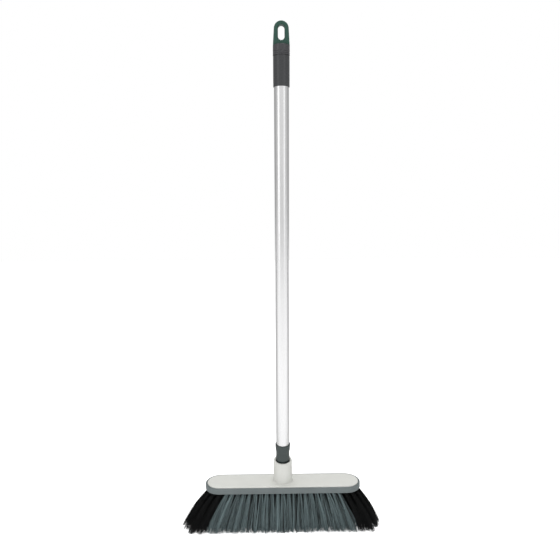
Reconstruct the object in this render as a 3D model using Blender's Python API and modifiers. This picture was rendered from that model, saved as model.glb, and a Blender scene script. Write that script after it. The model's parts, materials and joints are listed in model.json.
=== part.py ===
"""Telescopic indoor broom, in metres, +Z up.

The origin is the middle of the bristle foot, on the floor. X runs along the
block. The handle leans towards -Y, and its heights are measured along its
axis from the block's top face.
"""

import math

import bmesh
import bpy
from mathutils import Matrix, Vector

MM = 0.001
GAP = 0.3 * MM  # clearance left between pieces that touch
MERGE = 0.00001
ROUND_STEPS = 32

# Bristles
BRISTLE_LENGTH = 73 * MM
ROW_PITCH = 8.6 * MM
ROW_COUNT = 5
TUFT_PITCH = 10.35 * MM
GREY_REACH = 10  # the last grey tuft on each side, in pitches from the middle
BLACK_PITCH = 12.5 * MM
BLACK_COUNTS = (2, 3, 3, 3, 2)  # black tufts at each end, row by row
TUFT_SIDES = 6
TUFT_RADIUS = 2.4 * MM
HOLE_RADIUS = 2.8 * MM
HOLE_DEPTH = 7 * MM
COMB_TOP = 67 * MM  # below this height a row's tufts touch each other
FLARE_REACH = 48 * MM  # how far the tips of the outer tufts lie past their roots, at most
FLARE_ROOT = 95 * MM
FLARE_POWER = 2.6
KNEE_HEIGHT = 26 * MM  # the tufts flare quickly above this height and little below it
KNEE_FLARE = 0.84
TIP_ROW_PITCH = 14.8 * MM
COMB_GAP = 0.6 * MM
COMB_LIP = 0.5 * MM  # how far a row's slab stands out past its roots
END_SPREAD = 2.5 * MM  # the end tufts' spread past their middle

# Block and bumper
BLOCK_HALF_LENGTH = 146 * MM
BLOCK_HALF_WIDTH = 26 * MM
BLOCK_THICKNESS = 12 * MM
BLOCK_EDGE = 0.9 * MM
BUMPER_HEIGHT = 11 * MM
BUMPER_WALL = 3.2 * MM
BUMPER_EDGE = 1.2 * MM
BLOCK_TOP = BRISTLE_LENGTH + BLOCK_THICKNESS

# Socket, heights along the handle's axis
LEAN = math.radians(7)
SOCKET_TOP = 44.5 * MM
SOCKET_TOP_RADIUS = 16.8 * MM
SOCKET_FOOT_RADIUS = 17.5 * MM
SOCKET_FILLET = 6.5 * MM
SOCKET_SINK = 3 * MM
MOUTH_TILT = math.radians(2)  # the mouth is cut a little lower in front
MOUTH_RADIUS = 13.5 * MM
MOUTH_FLOOR = 33.5 * MM
BORE_RADIUS = 9.9 * MM
BORE_FLOOR = 6 * MM

# Thread
THREAD_PITCH = 5 * MM
THREAD_CORE = 9.4 * MM
THREAD_CREST = 1.5 * MM
THREAD_GROOVE = 2 * MM
THREAD_BOTTOM = 11 * MM
THREAD_TURNS = 4
GROOVE_START_TURNS = 0.75
GROOVE_TURNS = 5.75
THREAD_STEPS = 24
TIP_FOOT = 8 * MM
TIP_HOLLOW = 5 * MM

# Handle
FLANGE_BOTTOM = 35.6 * MM
FLANGE_TOP = 38.6 * MM
FLANGE_RADIUS = 12.9 * MM
INNER_TUBE_RADIUS = 10 * MM
INNER_TUBE_WALL = 0.7 * MM
INNER_TUBE_TOP = 700 * MM
TIP_TOP = 64 * MM
PIN_HEIGHT = 56 * MM
PIN_RADIUS = 1.6 * MM
PIN_HALF_LENGTH = 9.8 * MM
GUIDE_HEAD = 14 * MM
GUIDE_STEM = 22 * MM
OUTER_TUBE_RADIUS = 12.5 * MM
OUTER_TUBE_WALL = 0.8 * MM
OUTER_TUBE_BOTTOM = 68.8 * MM
OUTER_TUBE_TOP = 770.3 * MM
SLEEVE_BOTTOM = 722 * MM
SLEEVE_TOP = 770.1 * MM
SLEEVE_RADIUS = 13.7 * MM

# Telescope lock
COLLAR_TOP = 77.5 * MM
COLLAR_BOTTOM = 38.9 * MM
COLLAR_RIM_RADIUS = 14.1 * MM
COLLAR_WAIST_RADIUS = 12.7 * MM
COLLAR_FLARE_RADIUS = 13.1 * MM
COLLAR_NECK_RADIUS = 11.3 * MM
JAW_STEP = 66.5 * MM
JAW_FOOT = 50 * MM
JAW_SLEEVE = 16 * MM
JAW_SLIT = 1.2 * MM

# Cap and hanging loop
CAP_BOTTOM = 770.6 * MM
CAP_TOP = 786.3 * MM
CAP_RADIUS = 13.9 * MM
CAP_RING_RADIUS = 14.3 * MM
CAP_RING_TOP = 779.2 * MM
CAP_GROOVES = (776.4 * MM, 773.4 * MM)
CAP_GROOVE_DEPTH = 0.5 * MM
CAP_PLUG_BOTTOM = 745 * MM
DOME_RISE = 4.2 * MM
DOME_STEPS = 6
LOOP_TOP = 823.6 * MM
LOOP_HALF_WIDTH = 13.8 * MM
LOOP_TOP_RADIUS = 12.2 * MM
LOOP_HALF_THICKNESS = 6.5 * MM
LOOP_EDGE = 2.5 * MM
SLOT_HALF_WIDTH = 5.4 * MM
SLOT_TOP = 817.6 * MM
SLOT_BOTTOM = 794.2 * MM
TONGUE = (12 * MM, 8 * MM, 9 * MM)

COLORS = {
    "green plastic": ((0.036, 0.090, 0.072), 0.35, 0.0),
    "dark grey plastic": ((0.062, 0.063, 0.070), 0.45, 0.0),
    "dark collar plastic": ((0.078, 0.090, 0.090), 0.5, 0.0),
    "grip rubber": ((0.060, 0.061, 0.068), 0.7, 0.0),
    "aluminium": ((0.80, 0.80, 0.81), 0.3, 1.0),
    "steel": ((0.55, 0.55, 0.56), 0.35, 1.0),
    "black rubber": ((0.02, 0.02, 0.02), 0.8, 0.0),
    "nylon": ((0.75, 0.74, 0.70), 0.5, 0.0),
    "white plastic": ((0.69, 0.69, 0.66), 0.4, 0.0),
    "grey rubber": ((0.16, 0.175, 0.18), 0.6, 0.0),
    "grey bristle": ((0.08, 0.095, 0.098), 0.6, 0.0),
    "black bristle": ((0.009, 0.009, 0.010), 0.6, 0.0),
}


def clear_scene():
    for thing in list(bpy.data.objects):
        bpy.data.objects.remove(thing, do_unlink=True)


def new_collection(name):
    collection = bpy.data.collections.new(name)
    bpy.context.scene.collection.children.link(collection)
    return collection


def material(name):
    color, roughness, metallic = COLORS[name]
    found = bpy.data.materials.new(name)
    found.use_nodes = True
    shader = found.node_tree.nodes["Principled BSDF"]
    shader.inputs["Base Color"].default_value = (*color, 1)
    shader.inputs["Roughness"].default_value = roughness
    shader.inputs["Metallic"].default_value = metallic
    found.diffuse_color = (*color, 1)
    return found


def add_object(name, data, collection, parent=None):
    thing = bpy.data.objects.new(name, data)
    collection.objects.link(thing)
    thing.parent = parent
    return thing


def cutter(thing):
    thing.hide_render = True
    thing.display_type = "WIRE"
    return thing


def mesh_from(bm, name):
    mesh = bpy.data.meshes.new(name)
    bm.to_mesh(mesh)
    bm.free()
    return mesh


def turned(name, profile, collection, parent=None, closed=True):
    """A profile of (radius, height) points, run round the local Z axis."""
    bm = bmesh.new()
    points = [bm.verts.new((radius, 0, height)) for radius, height in profile]
    for first, second in zip(points, points[1:]):
        bm.edges.new((first, second))
    if closed:
        bm.edges.new((points[-1], points[0]))
    thing = add_object(name, mesh_from(bm, name), collection, parent)
    screw = thing.modifiers.new("Turn", "SCREW")
    screw.axis = "Z"
    screw.steps = ROUND_STEPS
    screw.render_steps = ROUND_STEPS
    screw.use_merge_vertices = True
    screw.merge_threshold = MERGE
    screw.use_smooth_shade = False
    return thing


def ring_profile(outer, inner, bottom, top):
    return [(outer, top), (outer, bottom), (inner, bottom), (inner, top)]


def box(name, low, high, collection, parent=None):
    bm = bmesh.new()
    size = Vector(high) - Vector(low)
    middle = (Vector(high) + Vector(low)) / 2
    place = Matrix.Translation(middle) @ Matrix.Diagonal((*size, 1))
    bmesh.ops.create_cube(bm, size=1, matrix=place)
    return add_object(name, mesh_from(bm, name), collection, parent)


def combine(thing, other, operation):
    boolean = thing.modifiers.new(other.name, "BOOLEAN")
    boolean.operation = operation
    boolean.object = other
    boolean.solver = "EXACT"


def curve_to_mesh(thing):
    """The curve object's shape as a closed mesh, in the curve's place."""
    bpy.context.view_layer.update()
    evaluated = thing.evaluated_get(bpy.context.evaluated_depsgraph_get())
    mesh = bpy.data.meshes.new_from_object(evaluated)
    bm = bmesh.new()
    bm.from_mesh(mesh)
    bmesh.ops.remove_doubles(bm, verts=bm.verts, dist=MERGE)
    bmesh.ops.recalc_face_normals(bm, faces=bm.faces)
    bm.to_mesh(mesh)
    bm.free()
    name = thing.name
    place = thing.matrix_world.copy()
    collection = thing.users_collection[0]
    bpy.data.objects.remove(thing, do_unlink=True)
    solid = add_object(name, mesh, collection)
    solid.matrix_world = place
    return solid


def stadium(half_length, half_width, steps=12):
    """Points round a long outline with half-round ends, counter-clockwise."""
    straight = half_length - half_width
    points = []
    for side in (1, -1):
        for step in range(steps + 1):
            angle = math.pi * (step / steps - 0.5)
            x = side * (straight + half_width * math.cos(angle))
            points.append((x, side * half_width * math.sin(angle)))
    return points


def flat_curve(name, outlines, half_thickness, collection, edge=0.0):
    """A plate from closed outlines; the second and later ones are holes."""
    data = bpy.data.curves.new(name, "CURVE")
    data.dimensions = "2D"
    data.fill_mode = "BOTH"
    data.extrude = half_thickness - edge
    data.bevel_depth = edge
    data.bevel_resolution = 2
    data.offset = -edge
    for outline in outlines:
        spline = data.splines.new("POLY")
        spline.points.add(len(outline) - 1)
        for point, (x, y) in zip(spline.points, outline):
            point.co = (x, y, 0, 1)
        spline.use_cyclic_u = True
    return add_object(name, data, collection)


def rounded_plate(name, half_length, half_width, bottom, top, edge, collection):
    """A stadium plate whose top edge is rounded."""
    bm = bmesh.new()
    outline = stadium(half_length, half_width)
    lower = [bm.verts.new((x, y, bottom)) for x, y in outline]
    face = bm.faces.new(lower)
    raised = bmesh.ops.extrude_face_region(bm, geom=[face])["geom"]
    upper = [item for item in raised if isinstance(item, bmesh.types.BMVert)]
    bmesh.ops.translate(bm, verts=upper, vec=(0, 0, top - bottom))
    bmesh.ops.recalc_face_normals(bm, faces=bm.faces)
    rim = [
        item
        for item in bm.edges
        if all(vert in upper for vert in item.verts)
    ]
    bmesh.ops.bevel(bm, geom=rim, offset=edge, segments=2, profile=0.5, affect="EDGES")
    return add_object(name, mesh_from(bm, name), collection)


def helix(name, radius, thickness, start, turns, collection, parent):
    """A round bead along a right-hand helix on the handle's axis."""
    data = bpy.data.curves.new(name, "CURVE")
    data.dimensions = "3D"
    data.bevel_depth = thickness
    data.bevel_resolution = 2
    data.use_fill_caps = True
    count = int(turns * THREAD_STEPS) + 1
    spline = data.splines.new("POLY")
    spline.points.add(count - 1)
    for step, point in enumerate(spline.points):
        angle = 2 * math.pi * step / THREAD_STEPS
        height = start + THREAD_PITCH * step / THREAD_STEPS
        point.co = (radius * math.cos(angle), radius * math.sin(angle), height, 1)
    curve = add_object(name, data, collection)
    solid = curve_to_mesh(curve)
    solid.parent = parent
    return solid


def socket_loft(name, collection):
    """The socket's outside: a horizontal foot that turns into a tilted tube."""
    axis = Vector((0, -math.sin(LEAN), math.cos(LEAN)))
    foot = Vector((0, 0, BLOCK_TOP))
    wide = SOCKET_FOOT_RADIUS + SOCKET_FILLET
    rings = [(-SOCKET_SINK, wide, 0)]
    fillet_steps = 5
    for step in range(fillet_steps + 1):
        turn = math.pi / 2 * step / fillet_steps
        radius = SOCKET_FOOT_RADIUS + SOCKET_FILLET * (1 - math.sin(turn))
        height = SOCKET_FILLET * (1 - math.cos(turn))
        rings.append((height, radius, LEAN * step / fillet_steps))
    rings.append((SOCKET_TOP, SOCKET_TOP_RADIUS, LEAN + MOUTH_TILT))
    bm = bmesh.new()
    loops = []
    for height, radius, tilt in rings:
        middle = foot + axis * height
        turn = Matrix.Translation(middle) @ Matrix.Rotation(tilt, 4, "X")
        made = bmesh.ops.create_circle(bm, segments=ROUND_STEPS, radius=radius, matrix=turn)
        loops.append(made["verts"])
    for lower, upper in zip(loops, loops[1:]):
        for here in range(ROUND_STEPS):
            there = (here + 1) % ROUND_STEPS
            bm.faces.new((lower[here], lower[there], upper[there], upper[here]))
    bm.faces.new(loops[0])
    bm.faces.new(loops[-1])
    bmesh.ops.recalc_face_normals(bm, faces=bm.faces)
    return add_object(name, mesh_from(bm, name), collection)


def row_offset(row):
    return (row - (ROW_COUNT - 1) / 2) * ROW_PITCH


def tuft_places(row):
    """The X positions of a row's tufts: black left, grey, black right.

    Every second row is shifted by half a pitch.
    """
    shift = 0.5 if row % 2 else 0
    steps = range(int(2 * (GREY_REACH - shift)) + 1)
    grey = [TUFT_PITCH * (step - GREY_REACH + shift) for step in steps]
    right = [grey[-1] + BLACK_PITCH * (step + 1) for step in range(BLACK_COUNTS[row])]
    left = [-x for x in reversed(right)]
    return left, grey, right


def bristle_place(root, height):
    """How far out a bristle rooted at X = root is at a height."""
    reach = FLARE_REACH * (1 - math.exp(-((abs(root) / FLARE_ROOT) ** FLARE_POWER)))
    if height < KNEE_HEIGHT:
        part = 1 - (1 - KNEE_FLARE) * height / KNEE_HEIGHT
    else:
        part = KNEE_FLARE * (BRISTLE_LENGTH - height) / (BRISTLE_LENGTH - KNEE_HEIGHT)
    return root + math.copysign(reach * part, root)


def hole_cutter(collection):
    """Every tuft hole as one mesh of separate prisms."""
    bm = bmesh.new()
    for row in range(ROW_COUNT):
        for group in tuft_places(row):
            for x in group:
                middle = Vector((x, row_offset(row), BRISTLE_LENGTH))
                bmesh.ops.create_cone(
                    bm,
                    cap_ends=True,
                    segments=TUFT_SIDES,
                    radius1=HOLE_RADIUS,
                    radius2=HOLE_RADIUS,
                    depth=2 * HOLE_DEPTH,
                    matrix=Matrix.Translation(middle),
                )
    return cutter(add_object("tuft holes", mesh_from(bm, "tuft holes"), collection))


def make_block(parts, cutters, axis):
    block = rounded_plate(
        "broom_block",
        BLOCK_HALF_LENGTH,
        BLOCK_HALF_WIDTH,
        BRISTLE_LENGTH,
        BLOCK_TOP,
        BLOCK_EDGE,
        parts,
    )
    socket = cutter(socket_loft("socket body", cutters))
    over = SOCKET_TOP + 4 * MM
    bore_profile = [
        (0, over),
        (MOUTH_RADIUS, over),
        (MOUTH_RADIUS, MOUTH_FLOOR),
        (BORE_RADIUS, MOUTH_FLOOR),
        (BORE_RADIUS, BORE_FLOOR),
        (0, BORE_FLOOR),
    ]
    bore = cutter(turned("socket bore", bore_profile, cutters, axis, closed=False))
    start = THREAD_BOTTOM - GROOVE_START_TURNS * THREAD_PITCH
    groove = helix(
        "thread groove", THREAD_CORE, THREAD_GROOVE, start, GROOVE_TURNS, cutters, axis
    )
    groove.rotation_euler.z = -2 * math.pi * GROOVE_START_TURNS
    cutter(groove)
    combine(block, socket, "UNION")
    combine(block, bore, "DIFFERENCE")
    combine(block, groove, "DIFFERENCE")
    combine(block, hole_cutter(cutters), "DIFFERENCE")
    block.data.materials.append(material("white plastic"))


def make_bumper(parts):
    outer = stadium(BLOCK_HALF_LENGTH + GAP + BUMPER_WALL, BLOCK_HALF_WIDTH + GAP + BUMPER_WALL)
    inner = stadium(BLOCK_HALF_LENGTH + GAP, BLOCK_HALF_WIDTH + GAP)
    half = BUMPER_HEIGHT / 2
    curve = flat_curve("edge_bumper", [outer, inner], half, parts, BUMPER_EDGE)
    curve.location.z = BRISTLE_LENGTH + half
    bumper = curve_to_mesh(curve)
    bumper.data.materials.clear()
    bumper.data.materials.append(material("grey rubber"))


def comb_side(root, height, end, inner):
    """The X of a comb's side: shared with the next comb, or an end's own spread."""
    if inner:
        return bristle_place(root - end * BLACK_PITCH / 2, height) + end * COMB_GAP / 2
    return bristle_place(root, height) + end * END_SPREAD


def comb_outline(group, end):
    """A tuft group's front outline, (x, z). end is the side it lies on, 0 for grey."""
    low = group[0] - TUFT_RADIUS - COMB_LIP
    high = group[-1] + TUFT_RADIUS + COMB_LIP
    left = []
    right = []
    for height in (KNEE_HEIGHT, 0):
        left.append((comb_side(group[0], height, end or 1, end >= 0), height))
        right.append((comb_side(group[-1], height, end or -1, end <= 0), height))
    return [(low, COMB_TOP), *left, *reversed(right), (high, COMB_TOP)]


def make_comb(name, row, group, end, colour, parts, cutters):
    """A group of tufts in one row: round roots over one flared slab."""
    y_root = row_offset(row)
    y_tip = y_root / ROW_PITCH * TIP_ROW_PITCH
    half_tip = (TIP_ROW_PITCH - COMB_GAP) / 2
    half_top = TUFT_RADIUS + COMB_LIP
    bm = bmesh.new()
    sides = []
    for face_side in (-1, 1):
        side = []
        for x, z in comb_outline(group, end):
            up = z / COMB_TOP
            middle = y_tip + (y_root - y_tip) * up
            half = half_tip + (half_top - half_tip) * up
            side.append(bm.verts.new((x, middle + face_side * half, z)))
        sides.append(side)
    front, back = sides
    count = len(front)
    for here in range(count):
        there = (here + 1) % count
        bm.faces.new((front[here], front[there], back[there], back[here]))
    bm.faces.new(front)
    bm.faces.new(back)
    bmesh.ops.recalc_face_normals(bm, faces=bm.faces)
    comb = add_object(name, mesh_from(bm, name), parts)
    comb.data.materials.append(material(colour))
    roots = bmesh.new()
    bottom = COMB_TOP - 2 * MM
    top = BRISTLE_LENGTH + HOLE_DEPTH - GAP
    for x in group:
        middle = Vector((x, y_root, (bottom + top) / 2))
        bmesh.ops.create_cone(
            roots,
            cap_ends=True,
            segments=TUFT_SIDES,
            radius1=TUFT_RADIUS,
            radius2=TUFT_RADIUS,
            depth=top - bottom,
            matrix=Matrix.Translation(middle),
        )
    roots_name = name + " roots"
    combine(comb, cutter(add_object(roots_name, mesh_from(roots, roots_name), cutters)), "UNION")


def make_bristles(parts, cutters):
    for row in range(ROW_COUNT):
        left, grey, right = tuft_places(row)
        name = "tufts_" + str(row + 1)
        make_comb(name + "_black_left", row, left, -1, "black bristle", parts, cutters)
        make_comb(name + "_grey", row, grey, 0, "grey bristle", parts, cutters)
        make_comb(name + "_black_right", row, right, 1, "black bristle", parts, cutters)


def make_thread_tip(parts, cutters, axis):
    plug = INNER_TUBE_RADIUS - INNER_TUBE_WALL - GAP
    hollow_top = FLANGE_BOTTOM
    profile = [
        (0, TIP_TOP),
        (plug, TIP_TOP),
        (plug, FLANGE_TOP),
        (FLANGE_RADIUS, FLANGE_TOP),
        (FLANGE_RADIUS, FLANGE_BOTTOM),
        (THREAD_CORE, FLANGE_BOTTOM),
        (THREAD_CORE, TIP_FOOT + 1 * MM),
        (THREAD_CORE - 1 * MM, TIP_FOOT),
        (TIP_HOLLOW, TIP_FOOT),
        (TIP_HOLLOW, hollow_top),
        (0, hollow_top),
    ]
    tip = turned("thread_tip", profile, parts, axis, closed=False)
    tip.data.materials.append(material("dark grey plastic"))
    thread = helix(
        "thread bead", THREAD_CORE, THREAD_CREST, THREAD_BOTTOM, THREAD_TURNS, cutters, axis
    )
    combine(tip, cutter(thread), "UNION")
    combine(tip, pin_cutter("pin hole in tip", cutters, axis), "DIFFERENCE")


def pin_shape(name, radius, half_length, collection, axis):
    bm = bmesh.new()
    place = Matrix.Translation((0, 0, PIN_HEIGHT)) @ Matrix.Rotation(math.pi / 2, 4, "Y")
    bmesh.ops.create_cone(
        bm,
        cap_ends=True,
        segments=16,
        radius1=radius,
        radius2=radius,
        depth=2 * half_length,
        matrix=place,
    )
    return add_object(name, mesh_from(bm, name), collection, axis)


def pin_cutter(name, cutters, axis):
    return cutter(pin_shape(name, PIN_RADIUS + GAP, 2 * PIN_HALF_LENGTH, cutters, axis))


def make_lower_handle(parts, cutters, axis):
    make_thread_tip(parts, cutters, axis)
    bore = INNER_TUBE_RADIUS - INNER_TUBE_WALL
    bottom = FLANGE_TOP + GAP
    profile = ring_profile(INNER_TUBE_RADIUS, bore, bottom, INNER_TUBE_TOP)
    tube = turned("inner_tube", profile, parts, axis)
    tube.data.materials.append(material("aluminium"))
    combine(tube, pin_cutter("pin hole in tube", cutters, axis), "DIFFERENCE")
    pin = pin_shape("tip_pin", PIN_RADIUS, PIN_HALF_LENGTH, parts, axis)
    pin.data.materials.append(material("steel"))
    stem = bore - GAP
    head = OUTER_TUBE_RADIUS - OUTER_TUBE_WALL - GAP
    head_bottom = INNER_TUBE_TOP + GAP
    head_top = head_bottom + GUIDE_HEAD
    guide_profile = [
        (0, head_top),
        (head - 1 * MM, head_top),
        (head, head_top - 2 * MM),
        (head, head_bottom),
        (stem, head_bottom),
        (stem, head_bottom - GUIDE_STEM),
        (0, head_bottom - GUIDE_STEM),
    ]
    guide = turned("guide_plug", guide_profile, parts, axis, closed=False)
    guide.data.materials.append(material("nylon"))


def make_washer(parts, axis):
    inner = THREAD_CORE + THREAD_CREST + 2 * GAP
    profile = ring_profile(
        MOUTH_RADIUS - GAP, inner, MOUTH_FLOOR + GAP, FLANGE_BOTTOM - GAP
    )
    washer = turned("mouth_washer", profile, parts, axis)
    washer.data.materials.append(material("black rubber"))


def make_outer_tube(parts, axis):
    bore = OUTER_TUBE_RADIUS - OUTER_TUBE_WALL
    profile = ring_profile(OUTER_TUBE_RADIUS, bore, OUTER_TUBE_BOTTOM, OUTER_TUBE_TOP)
    tube = turned("outer_tube", profile, parts, axis)
    tube.data.materials.append(material("aluminium"))


def make_sleeve(parts, axis):
    inner = OUTER_TUBE_RADIUS + GAP
    edge = 0.6 * MM
    profile = [
        (SLEEVE_RADIUS - edge, SLEEVE_TOP),
        (SLEEVE_RADIUS, SLEEVE_TOP - edge),
        (SLEEVE_RADIUS, SLEEVE_BOTTOM + edge),
        (SLEEVE_RADIUS - edge, SLEEVE_BOTTOM),
        (inner, SLEEVE_BOTTOM),
        (inner, SLEEVE_TOP),
    ]
    sleeve = turned("grip_sleeve", profile, parts, axis)
    sleeve.data.materials.append(material("grip rubber"))


def make_jaw(parts, cutters, axis):
    """The collet: a sleeve in the outer tube, a flange and two split jaws."""
    inner = INNER_TUBE_RADIUS + GAP
    sleeve = OUTER_TUBE_RADIUS - OUTER_TUBE_WALL - GAP
    flange_top = OUTER_TUBE_BOTTOM - GAP
    jaw = COLLAR_WAIST_RADIUS - 1.2 * MM
    profile = [
        (sleeve, flange_top + JAW_SLEEVE),
        (sleeve, flange_top),
        (OUTER_TUBE_RADIUS - GAP, flange_top),
        (OUTER_TUBE_RADIUS - GAP, JAW_STEP),
        (jaw, JAW_STEP),
        (jaw, JAW_FOOT + 1 * MM),
        (jaw - 0.3 * MM, JAW_FOOT),
        (inner, JAW_FOOT),
        (inner, flange_top + JAW_SLEEVE),
    ]
    piece = turned("lock_jaw", profile, parts, axis)
    piece.data.materials.append(material("nylon"))
    reach = 2 * OUTER_TUBE_RADIUS
    half = JAW_SLIT / 2
    low = (-reach, -half, JAW_FOOT - 1 * MM)
    high = (reach, half, JAW_STEP - 1 * MM)
    combine(piece, cutter(box("jaw slit", low, high, cutters, axis)), "DIFFERENCE")


def make_collar(parts, axis):
    cup = OUTER_TUBE_RADIUS + GAP
    waist_bore = COLLAR_WAIST_RADIUS - 0.9 * MM
    floor = JAW_STEP - GAP
    foot_bore = INNER_TUBE_RADIUS + GAP
    profile = [
        (COLLAR_RIM_RADIUS, COLLAR_TOP),
        (COLLAR_RIM_RADIUS, COLLAR_TOP - 4.5 * MM),
        (COLLAR_RIM_RADIUS - 0.5 * MM, COLLAR_TOP - 11.5 * MM),
        (COLLAR_WAIST_RADIUS, COLLAR_TOP - 15 * MM),
        (COLLAR_WAIST_RADIUS, COLLAR_TOP - 25 * MM),
        (COLLAR_FLARE_RADIUS, COLLAR_TOP - 28 * MM),
        (COLLAR_FLARE_RADIUS, COLLAR_TOP - 31 * MM),
        (COLLAR_NECK_RADIUS, COLLAR_TOP - 32.5 * MM),
        (COLLAR_NECK_RADIUS, COLLAR_BOTTOM),
        (foot_bore, COLLAR_BOTTOM),
        (foot_bore, JAW_FOOT - 4 * MM),
        (waist_bore, JAW_FOOT - 1 * MM),
        (waist_bore, floor),
        (cup, floor),
        (cup, COLLAR_TOP),
    ]
    collar = turned("lock_collar", profile, parts, axis)
    collar.data.materials.append(material("dark collar plastic"))


def dome_profile(radius, bottom):
    """The cap's domed top, from the axis out to radius."""
    points = []
    for step in range(DOME_STEPS + 1):
        part = step / DOME_STEPS
        points.append((radius * part, bottom + DOME_RISE * (1 - part**2)))
    return points


def cap_grooves():
    """Two shallow grooves round the cap's lower ring, from the top one down."""
    points = []
    for middle in CAP_GROOVES:
        points.append((CAP_RING_RADIUS, middle + CAP_GROOVE_DEPTH))
        points.append((CAP_RING_RADIUS - CAP_GROOVE_DEPTH, middle))
        points.append((CAP_RING_RADIUS, middle - CAP_GROOVE_DEPTH))
    return points


def make_cap(parts, cutters, axis):
    plug = OUTER_TUBE_RADIUS - OUTER_TUBE_WALL - GAP
    edge = 0.6 * MM
    profile = [
        *dome_profile(CAP_RADIUS - edge, CAP_TOP),
        (CAP_RADIUS, CAP_TOP - edge),
        (CAP_RADIUS, CAP_RING_TOP + 0.3 * MM),
        (CAP_RING_RADIUS, CAP_RING_TOP),
        *cap_grooves(),
        (CAP_RING_RADIUS, CAP_BOTTOM + edge),
        (CAP_RING_RADIUS - edge, CAP_BOTTOM),
        (plug, CAP_BOTTOM),
        (plug, CAP_PLUG_BOTTOM + 1 * MM),
        (plug - 1 * MM, CAP_PLUG_BOTTOM),
        (0, CAP_PLUG_BOTTOM),
    ]
    cap = turned("hanger_cap", profile, parts, axis, closed=False)
    cap.data.materials.append(material("dark grey plastic"))
    width, depth, height = TONGUE
    low = (-width / 2 - GAP, -depth / 2 - GAP, CAP_TOP - height - GAP)
    high = (width / 2 + GAP, depth / 2 + GAP, CAP_TOP + 2 * DOME_RISE)
    combine(cap, cutter(box("tongue pocket", low, high, cutters, axis)), "DIFFERENCE")


def loop_outline(half_width, top, bottom, radius, steps=12):
    """A round top whose tangents run down to the ends of a wider foot."""
    rise = top - radius - bottom
    lean = math.acos(radius / math.hypot(half_width, rise)) - math.atan2(rise, half_width)
    points = [(-half_width, bottom), (half_width, bottom)]
    for step in range(steps + 1):
        angle = lean + (math.pi - 2 * lean) * step / steps
        points.append((radius * math.cos(angle), top - radius * (1 - math.sin(angle))))
    return points


def slot_outline(steps=8):
    points = []
    for middle, start in ((SLOT_TOP - SLOT_HALF_WIDTH, 0), (SLOT_BOTTOM + SLOT_HALF_WIDTH, math.pi)):
        for step in range(steps + 1):
            angle = start + math.pi * step / steps
            points.append((SLOT_HALF_WIDTH * math.cos(angle), middle + SLOT_HALF_WIDTH * math.sin(angle)))
    return points


def make_loop(parts, cutters, axis):
    base = CAP_TOP + GAP
    arch = loop_outline(LOOP_HALF_WIDTH, LOOP_TOP, base - LOOP_EDGE, LOOP_TOP_RADIUS)
    curve = flat_curve(
        "hanger_loop", [arch, slot_outline()], LOOP_HALF_THICKNESS, parts, LOOP_EDGE
    )
    curve.rotation_euler.x = math.pi / 2
    loop = curve_to_mesh(curve)
    place = loop.matrix_world.copy()
    loop.matrix_world = Matrix.Identity(4)
    loop.data.transform(place)
    loop.parent = axis
    loop.data.materials.clear()
    loop.data.materials.append(material("green plastic"))
    reach = 2 * LOOP_HALF_WIDTH
    below_profile = [
        *dome_profile(LOOP_HALF_WIDTH, base),
        (reach, base),
        (reach, base - 20 * MM),
        (0, base - 20 * MM),
    ]
    below = turned("below loop", below_profile, cutters, axis, closed=False)
    combine(loop, cutter(below), "DIFFERENCE")
    width, depth, height = TONGUE
    low = (-width / 2, -depth / 2, CAP_TOP - height)
    high = (width / 2, depth / 2, base + DOME_RISE + 1 * MM)
    combine(loop, cutter(box("loop tongue", low, high, cutters, axis)), "UNION")


def make_upper_handle(parts, cutters, axis):
    make_outer_tube(parts, axis)
    make_sleeve(parts, axis)
    make_jaw(parts, cutters, axis)
    make_collar(parts, axis)
    make_cap(parts, cutters, axis)
    make_loop(parts, cutters, axis)


def make_handle_axis(parts):
    axis = add_object("handle axis", None, parts)
    axis.location.z = BLOCK_TOP
    axis.rotation_euler.x = LEAN
    bpy.context.view_layer.update()
    return axis


def main():
    clear_scene()
    parts = new_collection("telescopic broom")
    cutters = new_collection("cutters")
    axis = make_handle_axis(parts)
    make_block(parts, cutters, axis)
    make_bumper(parts)
    make_bristles(parts, cutters)
    make_washer(parts, axis)
    make_lower_handle(parts, cutters, axis)
    make_upper_handle(parts, cutters, axis)


main()
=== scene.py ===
"""Telescopic indoor broom: detailed pieces, materials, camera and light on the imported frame.

Lengths with a name in capitals are real sizes in metres. A piece on the
handle is built upright, with heights measured along the handle's axis from
the block's top face, and then stands in HANDLE.
"""

import json
import math
import random

import bmesh
import bpy
from mathutils import Matrix, Vector


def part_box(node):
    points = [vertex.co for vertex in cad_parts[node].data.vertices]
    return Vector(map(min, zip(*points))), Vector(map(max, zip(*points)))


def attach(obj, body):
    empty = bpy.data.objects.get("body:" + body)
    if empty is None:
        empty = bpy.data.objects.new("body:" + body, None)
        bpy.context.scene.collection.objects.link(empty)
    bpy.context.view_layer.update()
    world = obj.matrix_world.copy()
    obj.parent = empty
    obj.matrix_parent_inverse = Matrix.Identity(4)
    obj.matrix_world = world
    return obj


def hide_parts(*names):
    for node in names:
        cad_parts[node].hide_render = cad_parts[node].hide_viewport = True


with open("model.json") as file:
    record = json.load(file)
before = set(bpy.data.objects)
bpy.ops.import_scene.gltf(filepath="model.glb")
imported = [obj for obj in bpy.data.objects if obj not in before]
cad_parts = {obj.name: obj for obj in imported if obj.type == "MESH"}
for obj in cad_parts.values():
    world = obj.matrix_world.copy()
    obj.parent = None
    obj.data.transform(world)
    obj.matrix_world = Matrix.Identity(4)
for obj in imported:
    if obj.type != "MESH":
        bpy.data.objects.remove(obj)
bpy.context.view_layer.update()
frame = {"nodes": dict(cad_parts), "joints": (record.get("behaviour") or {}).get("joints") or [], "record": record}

MM = 0.001
SHARP = math.radians(38)
ROUND = 96

# ---------------------------------------------------------------- frame places

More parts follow.
